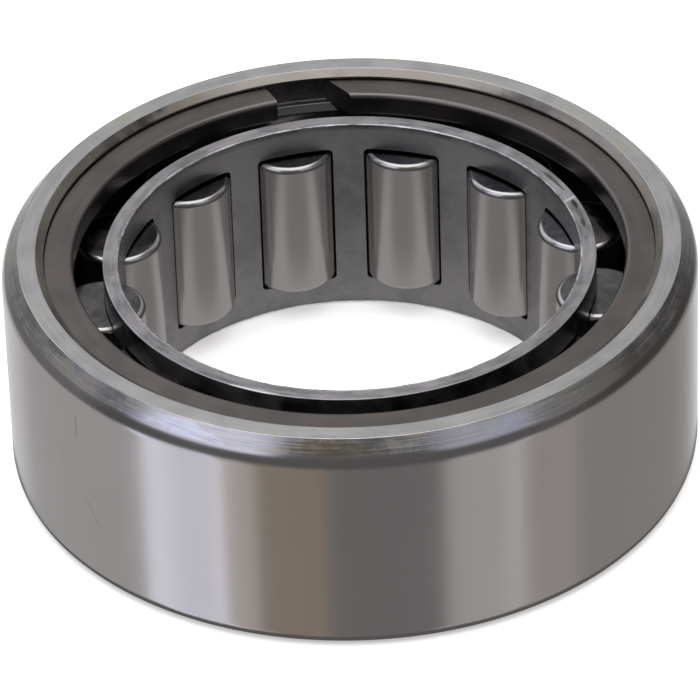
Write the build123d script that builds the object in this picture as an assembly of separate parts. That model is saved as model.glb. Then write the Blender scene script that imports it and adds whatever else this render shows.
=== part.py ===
from build123d import *
import math
import os

# Cylindrical roller bearing without an inner ring: the shaft runs on the rollers.
# Millimetres. The origin is the centre of the lower face, and +Z is the bearing's axis.

# Outer ring
ring_width = 22.2
outer_diameter = 64.3
pitch_diameter = 46.3
roller_diameter = 8.2
raceway_clearance = 0.05
lip_step = 0.9
lip_height = 0.75
inner_chamfer_radial = 0.75
inner_chamfer_height = 0.55
lead_cone_radial = 1.2
lead_cone_axial = 1.4
lead_round_radial = 0.35
lead_round_axial = 1.2
bottom_round = 1.3
raceway_edge_radial = 0.7
raceway_edge_axial = 0.55

# Split retaining rings, one in a groove at each end of the raceway
retaining_thickness = 2.4
retaining_reach = 1.8
retaining_lip_overlap = 0.3
retaining_edge_round = 0.45
retaining_corner_round = 1.6
groove_radial_clearance = 0.15
groove_axial_clearance = 0.1
gap_radial_end_azimuth = 104.5
gap_oblique_outer_azimuth = 93.5
gap_oblique_inner_azimuth = 88.5
lower_ring_turn = 150.0

# Rollers
roller_count = 13
roller_end_clearance = 1.4
roller_end_round = 0.55
roller_phase = 20.2
roller_end_play = 0.15

# Cage: a welded tube with one window for each roller
cage_inset = 0.35
cage_wall = 1.5
cage_rim = 2.8
cage_bevel_radial = 0.15
cage_bevel_axial = 0.1
window_end_clearance = 0.25
window_narrowing = 0.92
window_corner = 0.45
pocket_clearance = 0.12

# Worked out from the sizes above
outer_radius = outer_diameter / 2
pitch_radius = pitch_diameter / 2
roller_radius = roller_diameter / 2
raceway_radius = pitch_radius + roller_radius + raceway_clearance
lip_radius = raceway_radius + lip_step
face_inner_radius = lip_radius + inner_chamfer_radial
retaining_inner_radius = raceway_radius - retaining_reach
retaining_outer_radius = lip_radius + retaining_lip_overlap
groove_radius = retaining_outer_radius + groove_radial_clearance
groove_height = retaining_thickness + groove_axial_clearance
upper_groove_floor = ring_width - lip_height - groove_height
lower_groove_top = lip_height + groove_height
roller_bottom = lip_height + retaining_thickness + roller_end_play
roller_length = upper_groove_floor - lip_height - retaining_thickness - roller_end_clearance
window_height = roller_length + 2 * window_end_clearance
window_bottom = roller_bottom - window_end_clearance
cage_bottom = window_bottom - cage_rim
cage_height = window_height + 2 * cage_rim
cage_outer_radius = pitch_radius - cage_inset
cage_inner_radius = cage_outer_radius - cage_wall
window_width = roller_diameter - window_narrowing
azimuth_step = 360.0 / roller_count


def at_azimuth(radius, azimuth):
    """A point in plan at a radius and an azimuth in degrees from +X."""
    angle = math.radians(azimuth)
    return (radius * math.cos(angle), radius * math.sin(angle))


def turned(outline):
    """The solid of revolution about Z of a closed outline of radius and height."""
    return revolve(make_face(Plane.XZ * outline), axis=Axis.Z)


def outer_ring():
    """One hardened ring: ground outside, raceway inside, a snap ring groove near each face."""
    wall_top = ring_width - lead_cone_axial - lead_round_axial
    cone_radius = outer_radius - lead_round_radial
    bottom_radius = outer_radius - bottom_round
    edge_radius = raceway_radius + raceway_edge_radial
    outside = Curve() + [
        Line((face_inner_radius, 0), (bottom_radius, 0)),
        RadiusArc((bottom_radius, 0), (outer_radius, bottom_round), -bottom_round),
        Line((outer_radius, bottom_round), (outer_radius, wall_top)),
        TangentArc((outer_radius, wall_top), (cone_radius, wall_top + lead_round_axial), tangent=(0, 1)),
        Line((cone_radius, wall_top + lead_round_axial), (cone_radius - lead_cone_radial, ring_width)),
    ]
    inside = Polyline(
        (cone_radius - lead_cone_radial, ring_width),
        (face_inner_radius, ring_width),
        (lip_radius, ring_width - inner_chamfer_height),
        (lip_radius, ring_width - lip_height),
        (groove_radius, ring_width - lip_height),
        (groove_radius, upper_groove_floor),
        (edge_radius, upper_groove_floor),
        (raceway_radius, upper_groove_floor - raceway_edge_axial),
        (raceway_radius, lower_groove_top + raceway_edge_axial),
        (edge_radius, lower_groove_top),
        (groove_radius, lower_groove_top),
        (groove_radius, lip_height),
        (lip_radius, lip_height),
        (lip_radius, inner_chamfer_height),
        (face_inner_radius, 0),
    )
    return turned(outside + inside)


def retaining_ring():
    """A flat spring ring lying on Z = 0, cut through obliquely at one end and square at the other."""
    reach = retaining_outer_radius * 1.3
    oblique_inner = Vector(*at_azimuth(retaining_inner_radius, gap_oblique_inner_azimuth))
    oblique_outer = Vector(*at_azimuth(retaining_outer_radius, gap_oblique_outer_azimuth))
    along = (oblique_outer - oblique_inner).normalized()
    gap = make_face(Polyline(
        oblique_inner - along * 3,
        oblique_outer + along * 6,
        at_azimuth(reach, gap_radial_end_azimuth),
        at_azimuth(retaining_inner_radius * 0.85, gap_radial_end_azimuth),
        close=True,
    ))
    plan = Circle(retaining_outer_radius) - Circle(retaining_inner_radius) - gap
    corner_at = Vector(*at_azimuth(retaining_outer_radius, gap_radial_end_azimuth))
    corner = plan.vertices().sort_by_distance(corner_at)[0]
    plan = fillet(corner, retaining_corner_round)
    blank = extrude(plan, retaining_thickness)
    middle = (retaining_inner_radius + retaining_outer_radius) / 2
    section = Plane.XZ * Pos(middle, retaining_thickness / 2) * RectangleRounded(
        retaining_outer_radius - retaining_inner_radius, retaining_thickness, retaining_edge_round
    )
    return blank & revolve(section, axis=Axis.Z)


def roller(azimuth):
    """A solid cylinder with flat ends and rounded edges, standing on its pitch circle."""
    half = roller_length / 2
    barrel = Cylinder(roller_radius, roller_length)
    barrel = fillet(barrel.edges().filter_by(GeomType.CIRCLE), roller_end_round)
    x, y = at_azimuth(pitch_radius, azimuth)
    return Pos(x, y, roller_bottom + half) * barrel


def pocket(azimuth):
    """What a window takes out: a rounded slot through the wall and the relief round the roller."""
    middle = window_bottom + window_height / 2
    slot_plane = Plane(origin=(cage_inner_radius - 2, 0, middle), x_dir=(0, 1, 0), z_dir=(1, 0, 0))
    slot = extrude(slot_plane * RectangleRounded(window_width, window_height, window_corner), cage_wall + 4)
    relief = Cylinder(roller_radius + pocket_clearance, window_height)
    relief = fillet(relief.edges().filter_by(GeomType.CIRCLE), window_corner)
    return Rot(0, 0, azimuth) * (slot + Pos(pitch_radius, 0, middle) * relief)


def cage():
    """A tube with a broken inner edge at both rims and a window at each roller."""
    top = cage_bottom + cage_height
    tube = turned(Polyline(
        (cage_outer_radius, cage_bottom),
        (cage_outer_radius, top),
        (cage_inner_radius + cage_bevel_radial, top),
        (cage_inner_radius, top - cage_bevel_axial),
        (cage_inner_radius, cage_bottom + cage_bevel_axial),
        (cage_inner_radius + cage_bevel_radial, cage_bottom),
        close=True,
    ))
    for index in range(roller_count):
        tube -= pocket(roller_phase + index * azimuth_step)
    return tube


upper_ring = Pos(0, 0, upper_groove_floor) * retaining_ring()
lower_ring = Rot(0, 0, lower_ring_turn) * Pos(0, 0, lip_height) * retaining_ring()

pieces = {
    "outer_ring": outer_ring(),
    "upper_retaining_ring": upper_ring,
    "lower_retaining_ring": lower_ring,
    "cage": cage(),
}
for index in range(roller_count):
    pieces[f"roller_{index + 1:02d}"] = roller(roller_phase + index * azimuth_step)

os.makedirs("parts", exist_ok=True)
for name, solid in pieces.items():
    export_step(solid, f"parts/{name}.step")
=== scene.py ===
"""A cylindrical roller bearing without an inner ring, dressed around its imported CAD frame."""
import math

import bmesh
import bpy
import numpy as np
from mathutils import Matrix, Vector


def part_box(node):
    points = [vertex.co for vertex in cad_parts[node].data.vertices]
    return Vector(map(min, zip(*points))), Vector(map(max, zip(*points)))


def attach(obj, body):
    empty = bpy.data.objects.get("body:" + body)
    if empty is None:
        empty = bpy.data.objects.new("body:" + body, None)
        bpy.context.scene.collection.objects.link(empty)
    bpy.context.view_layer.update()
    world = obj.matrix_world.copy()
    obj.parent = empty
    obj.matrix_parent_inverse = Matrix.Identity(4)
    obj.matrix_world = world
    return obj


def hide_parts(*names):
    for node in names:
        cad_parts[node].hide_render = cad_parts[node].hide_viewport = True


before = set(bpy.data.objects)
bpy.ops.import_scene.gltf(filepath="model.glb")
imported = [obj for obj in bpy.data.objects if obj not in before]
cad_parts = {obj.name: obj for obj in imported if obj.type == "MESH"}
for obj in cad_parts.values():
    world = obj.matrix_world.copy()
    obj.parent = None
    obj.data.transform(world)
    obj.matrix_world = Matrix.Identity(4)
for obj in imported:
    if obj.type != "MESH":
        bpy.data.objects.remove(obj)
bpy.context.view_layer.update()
mm = 0.001


# ---------------------------------------------------------------- outer ring
# One hardened ring, turned and ground: polished outside and raceway, coarser grinding on the faces,
# and on the upper edge a long lead-in chamfer that lets it start into its housing.

def rounded(corners, radii, steps=5, guard=0.03 * mm):
    """A closed outline in (radius, height), each corner rounded by an arc tangent to both sides.

    The arc's directions from its centre turn evenly from one side's normal to the other's. One
    more point stands a guard's length before and after each arc, so that the flats stay flat
    when shaded.
    """
    corners = np.array(corners, float)
    radii = np.array(radii, float)
    back = np.roll(corners, 1, axis=0) - corners
    ahead = np.roll(corners, -1, axis=0) - corners
    back /= np.linalg.norm(back, axis=1)[:, None]
    ahead /= np.linalg.norm(ahead, axis=1)[:, None]
    half = np.arccos(np.clip((back * ahead).sum(1), -1, 1)) / 2
    reach = radii / np.tan(half)
    bisector = back + ahead
    bisector /= np.linalg.norm(bisector, axis=1)[:, None]
    centre = corners + bisector * (radii / np.sin(half))[:, None]
    start = corners + back * reach[:, None] - centre
    end = corners + ahead * reach[:, None] - centre
    turn = np.pi - 2 * half
    share = np.linspace(0, 1, steps)[None, :, None]
    sweep = (np.sin((1 - share) * turn[:, None, None]) * start[:, None]
             + np.sin(share * turn[:, None, None]) * end[:, None]) / np.sin(turn)[:, None, None]
    arc = centre[:, None] + sweep
    before = corners + back * (reach + guard)[:, None]
    after = corners + ahead * (reach + guard)[:, None]
    return np.concatenate([before[:, None], arc, after[:, None]], axis=1).reshape(-1, 2)


def grid_faces(rows, columns, closed_rows, closed_columns):
    """Corner indices of the quads of a grid of rows by columns, numbered row by row."""
    i = np.arange(rows if closed_rows else rows - 1)
    j = np.arange(columns if closed_columns else columns - 1)
    i, j = np.meshgrid(i, j, indexing="ij")
    i2, j2 = (i + 1) % rows, (j + 1) % columns
    quads = [i * columns + j, i * columns + j2, i2 * columns + j2, i2 * columns + j]
    return np.stack(quads, -1).reshape(-1, 4)


def unrolled_uvs(along, rows, row_length):
    """The four UV corners of each quad between rows.

    U is the length along the outline, V the row's number times the length from row to row.
    """
    i, j = np.meshgrid(np.arange(rows), np.arange(len(along) - 1), indexing="ij")
    u = np.stack([along[j], along[j + 1], along[j + 1], along[j]], -1)
    v = np.stack([i, i, i + 1, i + 1], -1) * row_length
    return np.stack([u, v], -1)


def make_piece(name, points, faces, uvs, marks=None, axis=(0, 0), merge=0.0):
    """A mesh object from points, quads, the quads' UVs and their material numbers, shaded smooth.

    The point attribute about_axis holds each point's place from the axis that the piece was
    turned on. Points nearer to each other than merge become one, which closes poles.
    """
    mesh = bpy.data.meshes.new(name)
    mesh.from_pydata(points.tolist(), [], faces.tolist())
    layer = mesh.uv_layers.new(name="turned")
    layer.data.foreach_set("uv", np.asarray(uvs, np.float32).ravel())
    if marks is not None:
        mesh.polygons.foreach_set("material_index", np.asarray(marks, np.int32))
    own = mesh.attributes.new("about_axis", "FLOAT_VECTOR", "POINT")
    from_axis = points - np.array([axis[0], axis[1], 0.0])
    own.data.foreach_set("vector", from_axis.astype(np.float32).ravel())
    mesh.polygons.foreach_set("use_smooth", np.ones(len(mesh.polygons), bool))
    mesh.update()
    if merge:
        work = bmesh.new()
        work.from_mesh(mesh)
        bmesh.ops.remove_doubles(work, verts=work.verts, dist=merge)
        stray = [edge for edge in work.edges if not edge.link_faces]
        bmesh.ops.delete(work, geom=stray, context="EDGES")
        work.to_mesh(mesh)
        work.free()
    piece = bpy.data.objects.new(name, mesh)
    bpy.context.scene.collection.objects.link(piece)
    return piece


def turned_piece(name, outline, marks, around, axis=(0, 0), merge=0.0):
    """A closed outline of (radius, height) carried round an upright axis.

    A point is the axis plus radius times the azimuth's direction, at its height. U is the length
    along the outline and V the length round the axis, both in metres.
    """
    azimuth = np.linspace(0, 2 * np.pi, around, endpoint=False)
    radius, height = outline[:, 0], outline[:, 1]
    points = np.stack([
        axis[0] + np.outer(np.cos(azimuth), radius),
        axis[1] + np.outer(np.sin(azimuth), radius),
        np.tile(height, (around, 1)),
    ], -1).reshape(-1, 3)
    count = len(outline)
    faces = grid_faces(around, count, True, True)[:, ::-1]
    step = np.linalg.norm(np.roll(outline, -1, axis=0) - outline, axis=1)
    along = np.concatenate([[0], np.cumsum(step)])
    turn = 2 * np.pi * radius.max() / around
    uvs = unrolled_uvs(along, around, turn)[..., ::-1, :].reshape(-1, 2)
    return make_piece(name, points, faces, uvs, np.tile(marks, around), axis, merge)


ring_low, ring_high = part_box("outer_ring")
ring_radius = min(-ring_low.x, ring_high.x, -ring_low.y, ring_high.y)
ring_height = ring_high.z - ring_low.z
cone_radial = 1.2 * mm
cone_axial = 1.4 * mm
lead_radial = 0.35 * mm
bottom_round = 1.3 * mm
face_inner = 28.95 * mm
lip_inner = 28.2 * mm
lip_height = 0.75 * mm
inner_chamfer = 0.55 * mm
groove_radius = 28.65 * mm
groove_height = 2.5 * mm
raceway_radius = 27.3 * mm
raceway_edge = (0.7 * mm, 0.55 * mm)
cone_low = ring_radius - lead_radial
wall_corner = ring_height - cone_axial - lead_radial * cone_axial / cone_radial
groove_floor = ring_height - lip_height - groove_height
groove_roof = lip_height + groove_height
WALL, CONE, FACE, CHAMFER, BORE, SHADED_LEDGE = range(6)
ring_corners = [
    # radius, height, corner radius, finish of the surface that follows
    (face_inner, 0, 0.1 * mm, FACE),
    (ring_radius, 0, bottom_round, WALL),
    (ring_radius, wall_corner, 2.1 * mm, CONE),
    (cone_low - cone_radial, ring_height, 0.12 * mm, FACE),
    (face_inner, ring_height, 0.06 * mm, CHAMFER),
    (lip_inner, ring_height - inner_chamfer, 0.04 * mm, CHAMFER),
    (lip_inner, ring_height - lip_height, 0.04 * mm, BORE),
    (groove_radius, ring_height - lip_height, 0.05 * mm, BORE),
    (groove_radius, groove_floor, 0.1 * mm, BORE),
    (raceway_radius + raceway_edge[0], groove_floor, 0.06 * mm, SHADED_LEDGE),
    (raceway_radius, groove_floor - raceway_edge[1], 0.15 * mm, BORE),
    (raceway_radius, groove_roof + raceway_edge[1], 0.15 * mm, SHADED_LEDGE),
    (raceway_radius + raceway_edge[0], groove_roof, 0.06 * mm, BORE),
    (groove_radius, groove_roof, 0.1 * mm, BORE),
    (groove_radius, lip_height, 0.05 * mm, BORE),
    (lip_inner, lip_height, 0.04 * mm, CHAMFER),
    (lip_inner, inner_chamfer, 0.04 * mm, CHAMFER),
]
arc_steps = 7
ring_steps = 600
ring_outline = rounded([c[:2] for c in ring_corners], [c[2] for c in ring_corners], arc_steps)
# An arc keeps the finish of the surface before it. The bottom rounding is ground as the wall is.
after = np.array([c[3] for c in ring_corners])
before = np.roll(after, 1)
ring_marks = np.repeat(before, arc_steps + 2).reshape(len(after), -1)
ring_marks[:, -1] = after
ring_marks[1] = WALL
outer_ring = turned_piece("outer_ring_ground", ring_outline, ring_marks.ravel(), ring_steps)
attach(outer_ring, "outer_ring")
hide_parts("outer_ring")


class Graph:
    """Places shader nodes one after another in a node tree and links them."""

    def __init__(self, tree):
        self.tree = tree
        self.count = 0

    def add(self, kind, inputs=None, **settings):
        """One node with its settings; an input is a socket to link or a value to set."""
        made = self.tree.nodes.new(kind)
        made.location = (180 * (self.count % 12), -220 * (self.count // 12))
        self.count += 1
        for key, value in settings.items():
            setattr(made, key, value)
        for key, value in (inputs or {}).items():
            if isinstance(value, bpy.types.NodeSocket):
                self.tree.links.new(value, made.inputs[key])
            else:
                made.inputs[key].default_value = value
        return made

    def math(self, operation, *values):
        """The output of one math node."""
        return self.add("ShaderNodeMath", dict(enumerate(values)), operation=operation).outputs[0]

    def mix(self, share, first, second):
        """The first colour times (1 - share) plus the second times share."""
        made = self.add("ShaderNodeMix", {0: share, 6: first, 7: second}, data_type="RGBA")
        return made.outputs[2]

    def ramp(self, value, low, high, to_low=0.0, to_high=1.0):
        """A smooth step from to_low at low to to_high at high."""
        made = self.add("ShaderNodeMapRange", {0: value, 1: low, 2: high, 3: to_low, 4: to_high},
                        interpolation_type="SMOOTHSTEP")
        return made.outputs[0]

    def length(self, x, y):
        """The square root of x squared plus y squared."""
        squares = self.math("ADD", self.math("MULTIPLY", x, x), self.math("MULTIPLY", y, y))
        return self.math("SQRT", squares)


def shader_group(name, inputs, outputs):
    """An empty shader node group with named sockets, its graph, and its input sockets."""
    tree = bpy.data.node_groups.new(name, "ShaderNodeTree")
    for label, kind, value in inputs:
        socket = tree.interface.new_socket(name=label, in_out="INPUT", socket_type=kind)
        if value is not None:
            socket.default_value = value
    for label, kind in outputs:
        tree.interface.new_socket(name=label, in_out="OUTPUT", socket_type=kind)
    graph = Graph(tree)
    given = graph.add("NodeGroupInput").outputs
    return tree, graph, given


def turned_lines():
    """Fine lines left by turning and grinding, and broad patches.

    The line noise is read at (run cos a, run sin a, lines (radius - height)), a being the azimuth
    about the piece's own axis, so it changes fast across the lines and slowly along them. The
    patch noise is read at the place itself.
    """
    tree, graph, given = shader_group(
        "turned_lines",
        [("Place", "NodeSocketVector", None), ("Lines", "NodeSocketFloat", 9000.0),
         ("Run", "NodeSocketFloat", 3.0), ("Patch", "NodeSocketFloat", 260.0)],
        [("Lines", "NodeSocketFloat"), ("Patches", "NodeSocketFloat")])
    x, y, z = graph.add("ShaderNodeSeparateXYZ", {0: given["Place"]}).outputs
    angle = graph.math("ARCTAN2", y, x)
    radius = graph.length(x, y)
    where = graph.add("ShaderNodeCombineXYZ", {
        0: graph.math("MULTIPLY", graph.math("COSINE", angle), given["Run"]),
        1: graph.math("MULTIPLY", graph.math("SINE", angle), given["Run"]),
        2: graph.math("MULTIPLY", graph.math("SUBTRACT", radius, z), given["Lines"])}).outputs[0]
    fine = graph.add("ShaderNodeTexNoise", {
        "Vector": where, "Scale": 1.0, "Detail": 3.0, "Roughness": 0.6})
    broad = graph.add("ShaderNodeTexNoise", {
        "Vector": given["Place"], "Scale": given["Patch"], "Detail": 5.0, "Roughness": 0.6})
    graph.add("NodeGroupOutput", {"Lines": fine.outputs["Fac"], "Patches": broad.outputs["Fac"]})
    return tree


lines_group = turned_lines()


def scratch():
    """A straight mark on an upright wall, between two ends of (azimuth in degrees, height in mm).

    The nearest point of the segment is its start plus the share of it, kept within 0 and 1, that
    the offset's projection gives. The mask falls from one to nothing over the width, in mm, of
    distance.
    """
    tree, graph, given = shader_group(
        "scratch",
        [("Place", "NodeSocketVector", None), ("Start", "NodeSocketVector", None),
         ("End", "NodeSocketVector", None), ("Radius", "NodeSocketFloat", 32.15),
         ("Width", "NodeSocketFloat", 0.1)],
        [("Mask", "NodeSocketFloat")])
    x, y, z = graph.add("ShaderNodeSeparateXYZ", {0: given["Place"]}).outputs
    per_degree = graph.math("MULTIPLY", given["Radius"], math.pi / 180)

    def unrolled(azimuth, height):
        """The wall laid flat: (azimuth times the length of one degree, height)."""
        way_round = graph.math("MULTIPLY", azimuth, per_degree)
        return graph.add("ShaderNodeCombineXYZ", {0: way_round, 1: height}).outputs[0]

    here = unrolled(graph.math("DEGREES", graph.math("ARCTAN2", y, x)),
                    graph.math("MULTIPLY", z, 1000.0))
    ends = []
    for label in ("Start", "End"):
        azimuth, height = graph.add("ShaderNodeSeparateXYZ", {0: given[label]}).outputs[:2]
        ends.append(unrolled(azimuth, height))

    def vector(operation, first, second):
        """The output of one vector node, a number for a dot product or a distance."""
        made = graph.add("ShaderNodeVectorMath", {0: first, 1: second}, operation=operation)
        return made.outputs["Value" if operation in ("DOT_PRODUCT", "DISTANCE") else "Vector"]

    run = vector("SUBTRACT", ends[1], ends[0])
    offset = vector("SUBTRACT", here, ends[0])
    share = graph.math("DIVIDE", vector("DOT_PRODUCT", offset, run),
                       vector("DOT_PRODUCT", run, run))
    share = graph.add("ShaderNodeClamp", {0: share}).outputs[0]
    nearest = graph.add("ShaderNodeVectorMath", {0: run, "Scale": share},
                        operation="SCALE").outputs[0]
    distance = vector("DISTANCE", offset, nearest)
    fall = graph.math("SUBTRACT", 1.0, graph.math("DIVIDE", distance, given["Width"]))
    graph.add("NodeGroupOutput", {"Mask": graph.add("ShaderNodeClamp", {0: fall}).outputs[0]})
    return tree


scratch_group = scratch()


def spot():
    """A long ragged spot about a place given in mm, such as a weld's bead, a painted highlight or a
    painted reflection.

    The offset from the middle is turned by the lean, in degrees, and divided by the half length and
    half width. The squared length of what remains, made ragged by a noise that runs along the
    spot, gives the mask: the strength at 0.2 and under, falling smoothly to nothing at one.
    """
    tree, graph, given = shader_group(
        "spot",
        [("Place", "NodeSocketVector", None), ("Middle", "NodeSocketVector", None),
         ("Lean", "NodeSocketFloat", 0.0), ("Half length", "NodeSocketFloat", 1.0),
         ("Half width", "NodeSocketFloat", 0.2), ("Strength", "NodeSocketFloat", 1.0)],
        [("Mask", "NodeSocketFloat")])
    here = graph.add("ShaderNodeVectorMath", {0: given["Place"], "Scale": 1000.0},
                     operation="SCALE").outputs[0]
    offset = graph.add("ShaderNodeVectorMath", {0: here, 1: given["Middle"]},
                       operation="SUBTRACT").outputs[0]
    lean = graph.math("RADIANS", given["Lean"])
    turned = graph.add("ShaderNodeVectorRotate", {"Vector": offset, "Angle": lean},
                       rotation_type="Z_AXIS").outputs[0]
    x, y, z = graph.add("ShaderNodeSeparateXYZ", {0: turned}).outputs
    along = graph.math("DIVIDE", x, given["Half length"])
    across = graph.math("DIVIDE", y, given["Half width"])
    squared = graph.math("ADD", graph.math("MULTIPLY", along, along),
                         graph.math("MULTIPLY", across, across))
    streaks = graph.add("ShaderNodeVectorMath", {0: turned, 1: (0.25, 2.5, 2.5)},
                        operation="MULTIPLY").outputs[0]
    noise = graph.add("ShaderNodeTexNoise", {"Vector": streaks, "Scale": 1.0, "Detail": 3.0})
    ragged = graph.ramp(noise.outputs["Fac"], 0.3, 0.7, -0.5, 0.5)
    squared = graph.math("ADD", squared, ragged)
    mask = graph.math("MULTIPLY", graph.ramp(squared, 1.0, 0.2), given["Strength"])
    graph.add("NodeGroupOutput", {"Mask": mask})
    return tree


spot_group = spot()


def spot_mark(height, radius, azimuth, lean, half_length, half_width, strength, colour):
    """A spot at a height and a radius in mm and an azimuth in degrees, with its colour."""
    angle = math.radians(azimuth)
    middle = (radius * math.cos(angle), radius * math.sin(angle), height)
    return (spot_group, {"Middle": middle, "Lean": lean, "Half length": half_length,
                         "Half width": half_width, "Strength": strength}), colour


def scratch_mark(start, end, width, colour):
    """A scratch between two places of (azimuth in degrees, height in mm), with its colour."""
    return (scratch_group, {"Start": (*start, 0), "End": (*end, 0), "Width": width}), colour


# The cone's spots are painted reflections: the two bluish ones are painted highlights of the blue
# boxes at the front left and right, the brown and olive ones a painted darker reflection between
# and beside them.
cone_painted_reflections = [
    # height, radius, azimuth, lean, half length, half width, strength, colour
    spot_mark(21.5, 31.2, -96, 186, 6.0, 0.9, 0.75, (0.56, 0.49, 0.37)),
    spot_mark(21.5, 31.2, -121, 211, 5.2, 0.7, 0.6, (0.72, 0.75, 0.86)),
    spot_mark(21.5, 31.3, -64, 154, 3.0, 0.6, 0.6, (0.66, 0.7, 0.8)),
    spot_mark(21.5, 31.2, -44, 134, 5.0, 0.9, 0.5, (0.5, 0.48, 0.4)),
]
wall_marks = [
    # start, end, width, colour
    scratch_mark((-141.5, 15.7), (-141.5, 17.7), 0.2, (0.42, 0.41, 0.41)),
    scratch_mark((-140.1, 9.3), (-136.9, 6.8), 0.15, (0.46, 0.45, 0.45)),
    scratch_mark((-146.5, 12.4), (-145.4, 11.2), 0.12, (0.5, 0.49, 0.49)),
]


def steel(name, colour, roughness, stretch, lines, run, patch, tints, rough_swings, relief,
          stain=(1, 1, 1), stained=0.0, marks=()):
    """A bright metal whose colour and roughness swing about their middles.

    Lines, run and patch are the turned lines' settings. Tints and rough_swings each give the
    swing with the lines, then with the patches. Stretch is the highlight's length across the
    lines. Stain multiplies the colour where the patches peak, by the share stained. Each mark is
    a mask's node group with its settings, and the colour that takes over where it is one.
    """
    line_tint, patch_tint = tints
    line_rough, patch_rough = rough_swings
    material = bpy.data.materials.new(name)
    material.use_nodes = True
    tree = material.node_tree
    shader = tree.nodes["Principled BSDF"]
    graph = Graph(tree)
    own = graph.add("ShaderNodeAttribute", attribute_name="about_axis").outputs["Vector"]
    grain = graph.add("ShaderNodeGroup", {"Place": own, "Lines": lines, "Run": run, "Patch": patch},
                      node_tree=lines_group)
    fine, patches = grain.outputs["Lines"], grain.outputs["Patches"]
    swing = graph.math("ADD", graph.ramp(fine, 0.32, 0.68, -line_tint, line_tint),
                       graph.ramp(patches, 0.35, 0.65, 1 - patch_tint, 1 + patch_tint))
    plain_tone = graph.add("ShaderNodeVectorMath", {0: colour, "Scale": swing},
                           operation="SCALE").outputs[0]
    stained_tone = graph.add("ShaderNodeVectorMath", {0: plain_tone, 1: stain},
                             operation="MULTIPLY").outputs[0]
    base = graph.mix(graph.ramp(patches, 0.52, 0.68, 0.0, stained), plain_tone, stained_tone)
    for (mask_group, settings), colour_there in marks:
        made = graph.add("ShaderNodeGroup", {"Place": own}, node_tree=mask_group)
        for socket, value in settings.items():
            made.inputs[socket].default_value = value
        base = graph.mix(made.outputs["Mask"], base, (*colour_there, 1.0))
    tree.links.new(base, shader.inputs["Base Color"])
    rough = graph.math(
        "ADD", graph.ramp(fine, 0.3, 0.7, roughness - line_rough, roughness + line_rough),
        graph.ramp(patches, 0.35, 0.65, -patch_rough, patch_rough))
    tree.links.new(rough, shader.inputs["Roughness"])
    bump = graph.add("ShaderNodeBump", {"Strength": relief, "Distance": 0.00002, "Height": fine})
    tree.links.new(bump.outputs["Normal"], shader.inputs["Normal"])
    shader.inputs["Metallic"].default_value = 1.0
    shader.inputs["Anisotropic"].default_value = stretch
    tangent = graph.add("ShaderNodeTangent", direction_type="UV_MAP", uv_map="turned")
    tree.links.new(tangent.outputs[0], shader.inputs["Tangent"])
    return material


for finish in (
    steel("wall_polished", (0.59, 0.57, 0.565), roughness=0.19, stretch=0.6, lines=14000, run=0.6,
          patch=90, tints=(0.008, 0.015), rough_swings=(0.01, 0.015), relief=0.01,
          marks=wall_marks),
    steel("cone_ground", (0.57, 0.56, 0.56), roughness=0.24, stretch=0.4, lines=5000, run=5,
          patch=330, tints=(0.16, 0.1), rough_swings=(0.07, 0.06), relief=0.3,
          stain=(0.92, 0.85, 0.68), stained=0.6, marks=cone_painted_reflections),
    steel("face_ground", (0.61, 0.605, 0.605), roughness=0.42, stretch=0.3, lines=5000, run=5,
          patch=240, tints=(0.055, 0.05), rough_swings=(0.04, 0.04), relief=0.15,
          stain=(0.88, 0.87, 0.72), stained=0.7),
    steel("chamfer_turned", (0.31, 0.288, 0.262), roughness=0.3, stretch=0.4, lines=4000, run=4,
          patch=300, tints=(0.14, 0.12), rough_swings=(0.06, 0.08), relief=0.3,
          stain=(0.85, 0.78, 0.62), stained=0.5),
    steel("groove_and_raceway", (0.24, 0.23, 0.225), roughness=0.32, stretch=0.4, lines=7000,
          run=3, patch=300, tints=(0.06, 0.12), rough_swings=(0.03, 0.05), relief=0.1),
    # The ledges between the grooves and the raceway are near-black: painted shade in the recess
    # under the split rings.
    steel("ledge_painted_shade", (0.055, 0.052, 0.053), roughness=0.4, stretch=0.3, lines=7000, run=3,
          patch=300, tints=(0.02, 0.03), rough_swings=(0.03, 0.05), relief=0.1),
):
    outer_ring.data.materials.append(finish)


# ---------------------------------------------------------------- retaining rings
# Two flat spring rings with rounded edges, sprung into the grooves so that the rollers can't leave.
# Each is cut through: obliquely at one end, square with a rounded outer corner at the other.

retaining_inner = 25.5 * mm
retaining_outer = 28.5 * mm
edge_round = 0.45 * mm
corner_round = 1.6 * mm
square_end = math.radians(104.5)
oblique_outer = math.radians(93.5)
oblique_inner = math.radians(88.5)


def square_end_azimuth(radius):
    """The azimuth of the square end at a radius: a radial line with a circular outer corner."""
    inside = np.clip(radius - (retaining_outer - corner_round), 0, corner_round)
    drop = corner_round - np.sqrt(np.maximum(corner_round ** 2 - inside ** 2, 0))
    return square_end + drop / radius


def oblique_end_azimuth(radius):
    """The azimuth of the oblique end at a radius: a straight cut between two points in plan."""
    share = (radius - retaining_inner) / (retaining_outer - retaining_inner)
    start = np.array([math.cos(oblique_inner), math.sin(oblique_inner)]) * retaining_inner
    end = np.array([math.cos(oblique_outer), math.sin(oblique_outer)]) * retaining_outer
    at = start + np.asarray(share)[..., None] * (end - start)
    return np.arctan2(at[..., 1], at[..., 0])


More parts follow.
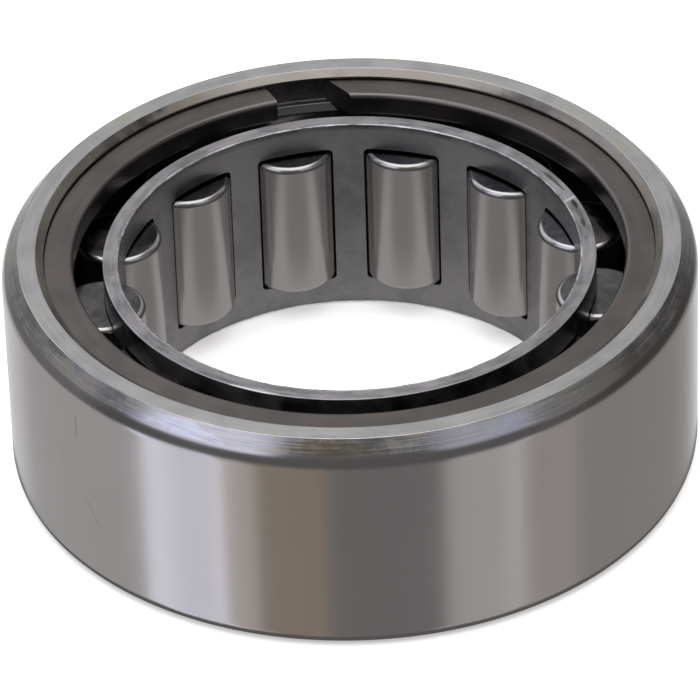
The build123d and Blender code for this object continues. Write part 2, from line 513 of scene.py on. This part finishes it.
def retaining_ring(name, node, turn):
    """The rounded section carried round from one end's azimuth to the other's, with flat ends.

    A point's azimuth runs evenly from the square end to the oblique end at its own radius.
    """
    low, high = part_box(node)
    corners = [(retaining_inner, low.z), (retaining_outer, low.z),
               (retaining_outer, high.z), (retaining_inner, high.z)]
    section = rounded(corners, [edge_round] * 4, 9)
    around, count = 500, len(section)
    share = np.linspace(0, 1, around)[:, None]
    begin = square_end_azimuth(section[:, 0])
    finish = oblique_end_azimuth(section[:, 0]) + 2 * np.pi
    azimuth = begin + share * (finish - begin) + turn
    radius = section[:, 0]
    points = np.stack([radius * np.cos(azimuth), radius * np.sin(azimuth),
                       np.tile(section[:, 1], (around, 1))], -1).reshape(-1, 3)
    faces = grid_faces(around, count, False, True)
    step = np.linalg.norm(np.roll(section, -1, axis=0) - section, axis=1)
    along = np.concatenate([[0], np.cumsum(step)])
    row_length = 2 * np.pi * retaining_outer / around
    uvs = unrolled_uvs(along, around - 1, row_length).reshape(-1, 2)
    piece = make_piece(name, points, faces, uvs)
    close_ends(piece, count, around)
    return piece


def close_ends(piece, count, around):
    """Caps the first and last section with one flat face each and turns every face outwards."""
    work = bmesh.new()
    work.from_mesh(piece.data)
    work.verts.ensure_lookup_table()
    first = [work.verts[k] for k in range(count)]
    last = [work.verts[(around - 1) * count + k] for k in range(count)]
    for loop in (first, last):
        cap = work.faces.new(loop)
        cap.smooth = False
        for edge in cap.edges:
            edge.smooth = False
    bmesh.ops.recalc_face_normals(work, faces=work.faces)
    work.to_mesh(piece.data)
    work.free()


spring_steel = steel("spring_steel", (0.208, 0.189, 0.181), roughness=0.36, stretch=0.3,
                     lines=1500, run=2, patch=240, tints=(0.04, 0.06), rough_swings=(0.02, 0.04),
                     relief=0.06, stain=(1.0, 0.97, 0.86), stained=0.6)
for name, node, turn in (
    ("upper_split_ring", "upper_retaining_ring", 0.0),
    ("lower_split_ring", "lower_retaining_ring", math.radians(150)),
):
    ring = retaining_ring(name, node, turn)
    ring.data.materials.append(spring_steel)
    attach(ring, "outer_ring")
    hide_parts(node)


# ---------------------------------------------------------------- cage
# A steel tube with a punched window for each roller, its strip rolled up and butt-welded. The rims
# are sheared and bevelled inside, and each window's sides are hollowed to the roller they guide.

cage_low, cage_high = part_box("cage")
cage_outer = cage_high.x
cage_wall = 1.5 * mm
cage_inner = cage_outer - cage_wall
cage_half_height = (cage_high.z - cage_low.z) / 2
rim_width = 2.8 * mm
bevel_axial = 0.1 * mm
roller_nodes = sorted(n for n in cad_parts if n.startswith("roller_"))


def node_axis(node):
    """The middle of a node's box in plan."""
    low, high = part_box(node)
    return np.array([(low.x + high.x) / 2, (low.y + high.y) / 2])


roller_axes = np.array([node_axis(n) for n in roller_nodes])
roller_azimuths = np.arctan2(roller_axes[:, 1], roller_axes[:, 0])
pitch_radius = float(np.linalg.norm(roller_axes, axis=1).mean())
roller_radius = 4.1 * mm
pocket_play = 0.12 * mm
pocket_radius = roller_radius + pocket_play
window_middle = (cage_low.z + cage_high.z) / 2
window_rise = cage_half_height - rim_width
window_corner = 0.45 * mm
sector_half = math.pi / len(roller_nodes)
window_edge = 0.07 * mm
rim_edge = 0.1 * mm


def window_half_width(radius):
    """Half a window's width round the cage at a radius.

    The side lies on a circle round the roller's axis, so by the cosine rule the azimuth's cosine is
    (radius squared + pitch squared - pocket squared) / (2 radius pitch). The half width is that
    azimuth times the radius.
    """
    cosine = (radius ** 2 + pitch_radius ** 2 - pocket_radius ** 2) / (2 * radius * pitch_radius)
    return math.acos(cosine) * radius


def joined_corners(corners, counts):
    """Four corner pieces joined by straight sides, each side with its count of even steps."""
    parts = []
    for piece, following, count in zip(corners, corners[1:] + corners[:1], counts):
        parts += [piece, np.linspace(piece[-1], following[0], count + 2)[1:-1]]
    return np.concatenate(parts)


side_counts = (25, 31, 25, 31)


def window_outline(half, rise, corner):
    """A rectangle with quarter-circle corners, anticlockwise, as (way round, height)."""
    turn = np.linspace(0, np.pi / 2, 7)
    corners = []
    for quarter, (sx, sz) in enumerate(((1, 1), (-1, 1), (-1, -1), (1, -1))):
        angle = turn + quarter * np.pi / 2
        corners.append(np.stack([sx * (half - corner) + corner * np.cos(angle),
                                 sz * (rise - corner) + corner * np.sin(angle)], -1))
    return joined_corners(corners, side_counts)


def sector_outline(half, rise):
    """The rectangle round a window, with a point in each corner.

    It has as many points as the window's outline, evenly spaced in steps near its corners.
    """
    steps = np.array([[0, -3], [0, -2], [0, -1], [0, 0], [-1, 0], [-2, 0], [-3, 0]]) * 0.45 * mm
    corners = []
    for sx, sz in ((1, 1), (-1, 1), (-1, -1), (1, -1)):
        corners.append(np.array([sx * half, sz * rise]) + steps)
        steps = np.stack([-steps[:, 1], steps[:, 0]], -1)
    return joined_corners(corners, side_counts)


def window_sector(azimuth):
    """One window with the cage wall round it, in rows of outlines from the outer skin inwards.

    A skin's row is (1 - share) of the window's outline plus share of the sector's rectangle. The
    wall between the skins follows the pocket's circle, and a quarter circle rounds both its edges.
    """
    rows = []

    def skin_row(radius, share, rise):
        """Adds a row on a skin, between the window's outline and the sector's rectangle."""
        half = window_half_width(radius) + window_edge
        inside = window_outline(half, window_rise + window_edge, window_corner + window_edge)
        inside[:, 0] /= radius
        outside = sector_outline(sector_half * cage_outer, rise)
        outside[:, 0] /= cage_outer
        rows.append((inside * (1 - share) + outside * share, radius))

    def wall_row(radius, grow):
        """Adds a row on the window's own wall, grown where the edge rounds off."""
        outline = window_outline(window_half_width(radius) + grow, window_rise + grow,
                                 window_corner + grow)
        outline[:, 0] /= radius
        rows.append((outline, radius))

    skin_shares = (1, 0.75, 0.5, 0.3, 0.15, 0.05)
    for share in skin_shares:
        skin_row(cage_outer, share, cage_half_height - rim_edge)
    for angle in np.linspace(0, np.pi / 2, 4):
        wall_row(cage_outer - window_edge * (1 - math.cos(angle)),
                 window_edge * (1 - math.sin(angle)))
    for share in np.linspace(0.08, 0.92, 5):
        wall_row(cage_outer - share * (cage_outer - cage_inner), 0)
    for angle in np.linspace(np.pi / 2, 0, 4):
        wall_row(cage_inner + window_edge * (1 - math.cos(angle)),
                 window_edge * (1 - math.sin(angle)))
    for share in skin_shares[::-1]:
        skin_row(cage_inner, share, cage_half_height - bevel_axial)
    flat = np.array([row for row, radius in rows])
    radius = np.array([radius for row, radius in rows])[:, None]
    angle = flat[..., 0] + azimuth
    points = np.stack([radius * np.cos(angle), radius * np.sin(angle),
                       window_middle + flat[..., 1]], -1)
    count = flat.shape[1]
    faces = grid_faces(len(rows), count, False, True)
    side = np.concatenate([[0], np.cumsum(np.abs(np.diff(radius[:, 0])))])
    uv = np.stack([flat[..., 1] + side[:, None], flat[..., 0] * cage_outer], -1)
    uvs = uv.reshape(-1, 2)[faces].reshape(-1, 2)
    return points.reshape(-1, 3), faces, uvs, np.zeros(len(faces), int)


burr_rise = 0.035 * mm
burr_waves = ((0.5, 37, 1), (0.35, 83, 0), (0.3, 151, 0))


def rim_strip(top):
    """A rim carried round: outer edge rounded by a quarter circle, flat band, burr at the bore.

    The burr is a low ridge whose height is 0.4 plus a sum of sines of the azimuth, each with its
    size, waves round the cage and shift, never under zero.
    """
    turn = np.linspace(0, np.pi / 2, 5)
    outline = sector_outline(sector_half * cage_outer, 1)
    upper = np.sort(outline[outline[:, 1] == 1][:-1, 0]) / cage_outer
    azimuth = (np.sort(roller_azimuths)[:, None] + upper).ravel()
    edge = np.stack([cage_outer - rim_edge * (1 - np.cos(turn)),
                     cage_half_height - rim_edge * (1 - np.sin(turn))], -1)
    band = np.array([
        [cage_outer - 0.2 * mm, cage_half_height],
        [cage_outer - 0.8 * mm, cage_half_height],
        [cage_inner + 0.45 * mm, cage_half_height],
        [cage_inner + 0.26 * mm, cage_half_height],
    ])
    ridge = np.array([
        [cage_inner + 0.18 * mm, cage_half_height],
        [cage_inner + 0.1 * mm, cage_half_height],
        [cage_inner + 0.04 * mm, cage_half_height - 0.03 * mm],
        [cage_inner, cage_half_height - bevel_axial],
    ])
    profile = np.concatenate([edge, band, ridge])
    burr = np.zeros(len(profile))
    burr[-len(ridge):] = 0.3, 1.0, 1.0, 0.0
    on_burr = np.arange(len(profile) - 1) >= len(profile) - len(ridge)
    marks = np.tile(np.where(on_burr, 2, 1), len(azimuth))
    ragged = 0.4
    for size, waves, shift in burr_waves:
        ragged = ragged + size * np.sin(waves * azimuth + shift)
    ragged = np.maximum(0, ragged)
    radius = np.tile(profile[:, 0], (len(azimuth), 1))
    height = profile[:, 1] + np.outer(ragged, burr) * burr_rise
    side = 1 if top else -1
    points = np.stack([np.cos(azimuth)[:, None] * radius, np.sin(azimuth)[:, None] * radius,
                       window_middle + side * height], -1).reshape(-1, 3)
    faces = grid_faces(len(azimuth), len(profile), True, False)
    step = np.linalg.norm(np.diff(profile, axis=0), axis=1)
    along = np.concatenate([[0], np.cumsum(step)])
    row_length = 2 * np.pi * cage_outer / len(azimuth)
    uvs = unrolled_uvs(along, len(azimuth), row_length).reshape(-1, 2)
    return points, faces, uvs, marks


def cage_piece():
    """All sectors and both rims in one mesh, with doubles merged and every face turned outwards."""
    parts = [window_sector(azimuth) for azimuth in roller_azimuths]
    parts += [rim_strip(True), rim_strip(False)]
    starts = np.cumsum([0] + [len(part[0]) for part in parts])[:-1]
    points = np.concatenate([part[0] for part in parts])
    faces = np.concatenate([part[1] + start for part, start in zip(parts, starts)])
    uvs = np.concatenate([part[2] for part in parts])
    marks = np.concatenate([part[3] for part in parts])
    piece = make_piece("cage_welded", points, faces, uvs, marks)
    work = bmesh.new()
    work.from_mesh(piece.data)
    bmesh.ops.remove_doubles(work, verts=work.verts, dist=1e-7)
    bmesh.ops.recalc_face_normals(work, faces=work.faces)
    work.to_mesh(piece.data)
    work.free()
    return piece


rim = cage_high.z / mm
# The dark spots are the weld's seam and bead; the two near-white ones are painted glints on the
# rim.
weld_and_glint_marks = [
    # height, radius, azimuth, lean, half length, half width, strength, colour
    spot_mark(rim, 22.05, 15.5, 74.5, 2.4, 0.5, 0.6, (0.17, 0.16, 0.16)),
    spot_mark(rim, 22.1, 18.0, 72, 0.8, 0.4, 1.0, (0.07, 0.066, 0.066)),
    spot_mark(rim, 22.0, 9.8, 80, 0.8, 0.3, 0.85, (0.1, 0.096, 0.096)),
    spot_mark(rim, 22.1, 29.5, 60.5, 2.2, 0.28, 0.85, (0.12, 0.115, 0.115)),
    spot_mark(rim, 22.2, 20.4, -41.7, 1.4, 0.22, 0.9, (0.9, 0.88, 0.9)),
    spot_mark(rim, 22.6, 247, -157, 2.6, 0.3, 0.75, (0.95, 0.93, 0.95)),
]
cage = cage_piece()
for finish in (
    steel("cage_satin", (0.335, 0.33, 0.337), roughness=0.36, stretch=0.2, lines=900, run=9,
          patch=260, tints=(0.05, 0.17), rough_swings=(0.03, 0.08), relief=0.08,
          stain=(0.88, 0.84, 0.78), stained=0.4),
    steel("cage_sheared", (0.47, 0.455, 0.47), roughness=0.36, stretch=0.2, lines=2200, run=6,
          patch=240, tints=(0.14, 0.13), rough_swings=(0.06, 0.07), relief=0.25,
          stain=(0.8, 0.77, 0.76), stained=0.45, marks=weld_and_glint_marks),
    steel("cage_burr", (0.58, 0.565, 0.59), roughness=0.34, stretch=0.2, lines=2500, run=40,
          patch=420, tints=(0.15, 0.35), rough_swings=(0.05, 0.06), relief=0.3,
          stain=(1.3, 1.3, 1.32), stained=0.6),
):
    cage.data.materials.append(finish)
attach(cage, "cage")
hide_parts("cage")


# ---------------------------------------------------------------- rollers
# Through-hardened, centreless-ground cylinders: bright polished sides, flat ends coloured dark as
# painted shade under the split ring, with a rounded edge between them. They lie loose in the cage
# windows.

end_round = 0.55 * mm
pole_round = 1e-7
roller_steps = 96
roller_polish = steel("roller_polished", (0.55, 0.537, 0.528), roughness=0.24, stretch=0.6,
                      lines=12000, run=1, patch=150, tints=(0.01, 0.02),
                      rough_swings=(0.01, 0.02), relief=0.01)
# The ends' dark colour is painted shade: they lie under the split ring, amid the cage.
shaded_roller_end = steel("roller_ends_painted_shade", (0.2, 0.195, 0.202), roughness=0.18, stretch=0.2, lines=4000,
                   run=4, patch=420, tints=(0.05, 0.3), rough_swings=(0.03, 0.08), relief=0.1,
                   stain=(0.55, 0.5, 0.46), stained=0.75)
for node in roller_nodes:
    low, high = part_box(node)
    corners = [(0.0, low.z), (roller_radius, low.z), (roller_radius, high.z), (0.0, high.z)]
    outline = rounded(corners, [pole_round, end_round, end_round, pole_round], 9)
    # The points beside the axis give way to one point on it at each end.
    outline = outline[outline[:, 0] > 1e-5]
    outline = np.concatenate([[[0.0, low.z]], outline, [[0.0, high.z]]])
    middle = (low.z + high.z) / 2
    flat = np.abs(outline[:, 1] - middle) > (high.z - low.z) / 2 - 0.02 * mm
    marks = np.where(flat & np.roll(flat, -1), 1, 0)
    axis = node_axis(node)
    piece = turned_piece(node + "_ground", outline, marks, roller_steps, axis, 1e-8)
    piece.data.materials.append(roller_polish)
    piece.data.materials.append(shaded_roller_end)
    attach(piece, node)
    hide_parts(node)


# ---------------------------------------------------------------- floor, light and camera
# A plain pale floor, a studio of soft reflectors at chosen directions round the bearing, and a long
# lens from above the front.

def pale_sheet(name, outline, height, tone, glow):
    """A flat sheet of one face: its outline in plan at one height, in paint with a faint glow."""
    mesh = bpy.data.meshes.new(name)
    mesh.from_pydata([(x, y, height) for x, y in outline], [], [tuple(range(len(outline)))])
    sheet = bpy.data.objects.new(name, mesh)
    bpy.context.scene.collection.objects.link(sheet)
    paint = bpy.data.materials.new(name)
    paint.use_nodes = True
    shader = paint.node_tree.nodes["Principled BSDF"]
    shader.inputs["Base Color"].default_value = (tone, tone, tone, 1)
    shader.inputs["Roughness"].default_value = 0.9
    shader.inputs["Specular IOR Level"].default_value = 0.0
    shader.inputs["Emission Color"].default_value = (1.0, 0.978, 0.962, 1)
    shader.inputs["Emission Strength"].default_value = glow
    mesh.materials.append(paint)
    return sheet


floor = pale_sheet("floor", [(-2, -2), (2, -2), (2, 2), (-2, 2)], -0.02 * mm, 0.8, 0.45)
floor.visible_glossy = False
# The disc is met only by reflections: a glowing sheet that paints the floor's reflection, with
# painted shade in its middle and a painted shadow under the ring. It lights the rollers from below
# and gives the ring its dark lower edge.
around = np.linspace(0, 2 * np.pi, 64, endpoint=False)
disc_radius = 32.8 * mm
disc_outline = list(zip(disc_radius * np.cos(around), disc_radius * np.sin(around)))
painted_floor_reflection = pale_sheet("floor_reflection_painted", disc_outline, -0.01 * mm, 0.0, 0.42)
bore_tree = painted_floor_reflection.data.materials[0].node_tree
bore_graph = Graph(bore_tree)
place = bore_graph.add("ShaderNodeTexCoord").outputs["Object"]
from_middle = bore_graph.add("ShaderNodeVectorMath", {0: place, 1: (0, -2 * mm, 0)},
                             operation="DISTANCE")
# Dimmer within 9 mm of a point 2 mm in front of the axis: painted shade in the middle.
glow = bore_graph.ramp(from_middle.outputs["Value"], 9 * mm, 17 * mm, 0.27, 0.46)
from_axis = bore_graph.add("ShaderNodeVectorMath", {0: place}, operation="LENGTH")
# Beyond 20.5 mm from the axis the glow falls, to 0.3 of itself past 22 mm: a painted shadow under
# the ring.
painted_shadow_under_ring = bore_graph.ramp(from_axis.outputs["Value"], 20.5 * mm, 22 * mm, 1.0, 0.3)
glow = bore_graph.math("MULTIPLY", glow, painted_shadow_under_ring)
bore_tree.links.new(glow, bore_tree.nodes["Principled BSDF"].inputs["Emission Strength"])
painted_floor_reflection.visible_camera = False
painted_floor_reflection.visible_diffuse = False
painted_floor_reflection.visible_shadow = False

overhead_data = bpy.data.lights.new("overhead", "AREA")
overhead_data.shape = "SQUARE"
overhead_data.size = 1.2
overhead_data.energy = 9.0
overhead = bpy.data.objects.new("overhead", overhead_data)
overhead.matrix_world = Matrix.Translation((0, -0.1, 0.9))
overhead.visible_glossy = False
bpy.context.scene.collection.objects.link(overhead)


def reflector():
    """How much of a reflector a direction meets.

    The direction's azimuth from the front, and its height above the horizon, each pass a window
    with soft sides. The azimuth's is one inside the half width and nothing beyond it by the
    softness; the height's is one from low to high and nothing past them by the edge. The two are
    multiplied.
    """
    tree, graph, given = shader_group(
        "reflector",
        [("Direction", "NodeSocketVector", None), ("Azimuth", "NodeSocketFloat", 0.0),
         ("Half width", "NodeSocketFloat", 20.0), ("Softness", "NodeSocketFloat", 10.0),
         ("Low", "NodeSocketFloat", -90.0), ("High", "NodeSocketFloat", 90.0),
         ("Edge", "NodeSocketFloat", 10.0)],
        [("Mask", "NodeSocketFloat")])
    x, y, z = graph.add("ShaderNodeSeparateXYZ", {0: given["Direction"]}).outputs
    flat = graph.length(x, y)
    azimuth = graph.math("DEGREES", graph.math("ARCTAN2", x, graph.math("MULTIPLY", y, -1.0)))
    height = graph.math("DEGREES", graph.math("ARCTAN2", z, flat))
    off = graph.math("SUBTRACT", azimuth, given["Azimuth"])
    off = graph.math("ABSOLUTE", graph.math("WRAP", off, 180.0, -180.0))
    reach = graph.math("ADD", given["Half width"], given["Softness"])
    aside = graph.ramp(off, given["Half width"], reach, 1.0, 0.0)
    under = graph.ramp(height, graph.math("SUBTRACT", given["Low"], given["Edge"]), given["Low"])
    over = graph.ramp(height, given["High"], graph.math("ADD", given["High"], given["Edge"]),
                      1.0, 0.0)
    mask = graph.math("MULTIPLY", aside, graph.math("MULTIPLY", under, over))
    graph.add("NodeGroupOutput", {"Mask": mask})
    return tree


def studio(reflectors, ambient):
    """The world: an even ambient light plus each reflector's colour times its mask.

    The camera itself sees white.
    """
    world = bpy.data.worlds.new("studio")
    bpy.context.scene.world = world
    world.use_nodes = True
    tree = world.node_tree
    tree.nodes.clear()
    graph = Graph(tree)
    group = reflector()
    direction = graph.add("ShaderNodeTexCoord").outputs["Generated"]
    total = graph.add("ShaderNodeRGB").outputs[0]
    total.default_value = (*ambient, 1)
    for azimuth, half, soft, low, high, edge, strength, tone in reflectors:
        card = graph.add("ShaderNodeGroup", node_tree=group)
        tree.links.new(direction, card.inputs["Direction"])
        for socket, value in zip(("Azimuth", "Half width", "Softness", "Low", "High", "Edge"),
                                 (azimuth, half, soft, low, high, edge)):
            card.inputs[socket].default_value = value
        colour = tuple(strength * part for part in tone)
        lit = graph.add("ShaderNodeVectorMath", {0: colour}, operation="SCALE")
        tree.links.new(card.outputs["Mask"], lit.inputs["Scale"])
        total = graph.add("ShaderNodeVectorMath", {0: total, 1: lit.outputs[0]},
                          operation="ADD").outputs[0]
    seen = graph.add("ShaderNodeLightPath").outputs["Is Camera Ray"]
    colour = graph.mix(seen, total, (1.0, 1.0, 1.0, 1.0))
    light = graph.add("ShaderNodeBackground", {"Color": colour, "Strength": 1.0})
    graph.add("ShaderNodeOutputWorld", {"Surface": light.outputs[0]})


plain, blue = (1, 1, 1), (0.93, 0.95, 1.12)
warm, olive = (1.0, 0.9, 0.83), (1.0, 0.62, 0.2)
studio([
    # azimuth from the front, half width, softness, low, high, edge, strength, tone
    # below the horizon: the pale table's lit and unlit parts
    (180, 4, 43, -62, -31, 16, 0.7, plain),
    (-60.5, 13.5, 3, -62, -24, 10, 0.68, blue),
    (-41, 6, 3, -62, -24, 10, 0.34, warm),
    (-21, 9, 4, -62, -24, 10, 0.12, olive),
    (-110, 34, 18, -62, -24, 10, 0.26, plain),
    (43, 11, 6, -62, -24, 10, 0.29, plain),
    (65, 8, 10, -62, -24, 10, 0.2, warm),
    (110, 24, 20, -62, -24, 10, 0.12, warm),
    (0, 180, 1, -62, -26, 12, 0.135, plain),
    # at the horizon
    (-125, 30, 20, -20, 25, 12, 0.12, plain),
    (180, 20, 34, -24, 18, 14, 0.22, plain),
    (0, 60, 30, -14, 22, 10, 0.055, plain),
    # above it: boxes to the left, front and right, the back, and overhead
    (-52, 19, 10, 30, 52, 8, 1.02, blue),
    (-4, 18, 12, 34, 62, 10, 0.07, plain),
    (45, 14, 8, 32, 52, 8, 0.48, blue),
    (78, 10, 14, 22, 40, 10, 0.14, plain),
    (180, 50, 34, 24, 60, 10, 0.34, plain),
    (-128, 30, 16, 30, 60, 10, 0.5, blue),
    (0, 180, 1, 66, 90, 10, 1.5, plain),
], (0.07, 0.068, 0.066))

camera_data = bpy.data.cameras.new("camera")
camera_data.sensor_width = 36
camera_data.lens = 339.2
camera_data.clip_start = 0.01
camera_data.clip_end = 20
camera = bpy.data.objects.new("camera", camera_data)
bpy.context.scene.collection.objects.link(camera)
aim = Vector((-0.232, 0, 9.777)) * mm
camera_distance = 614.7 * mm
camera_roll = math.radians(-1.88)
raised = math.radians(35.8)
away = Vector((0, -math.cos(raised), math.sin(raised)))
turned_to = (-away).to_track_quat("-Z", "Y").to_matrix().to_4x4()
camera.matrix_world = (Matrix.Translation(aim + camera_distance * away) @ turned_to
                       @ Matrix.Rotation(camera_roll, 4, "Z"))
bpy.context.scene.camera = camera
bpy.context.scene.view_settings.view_transform = "Standard"
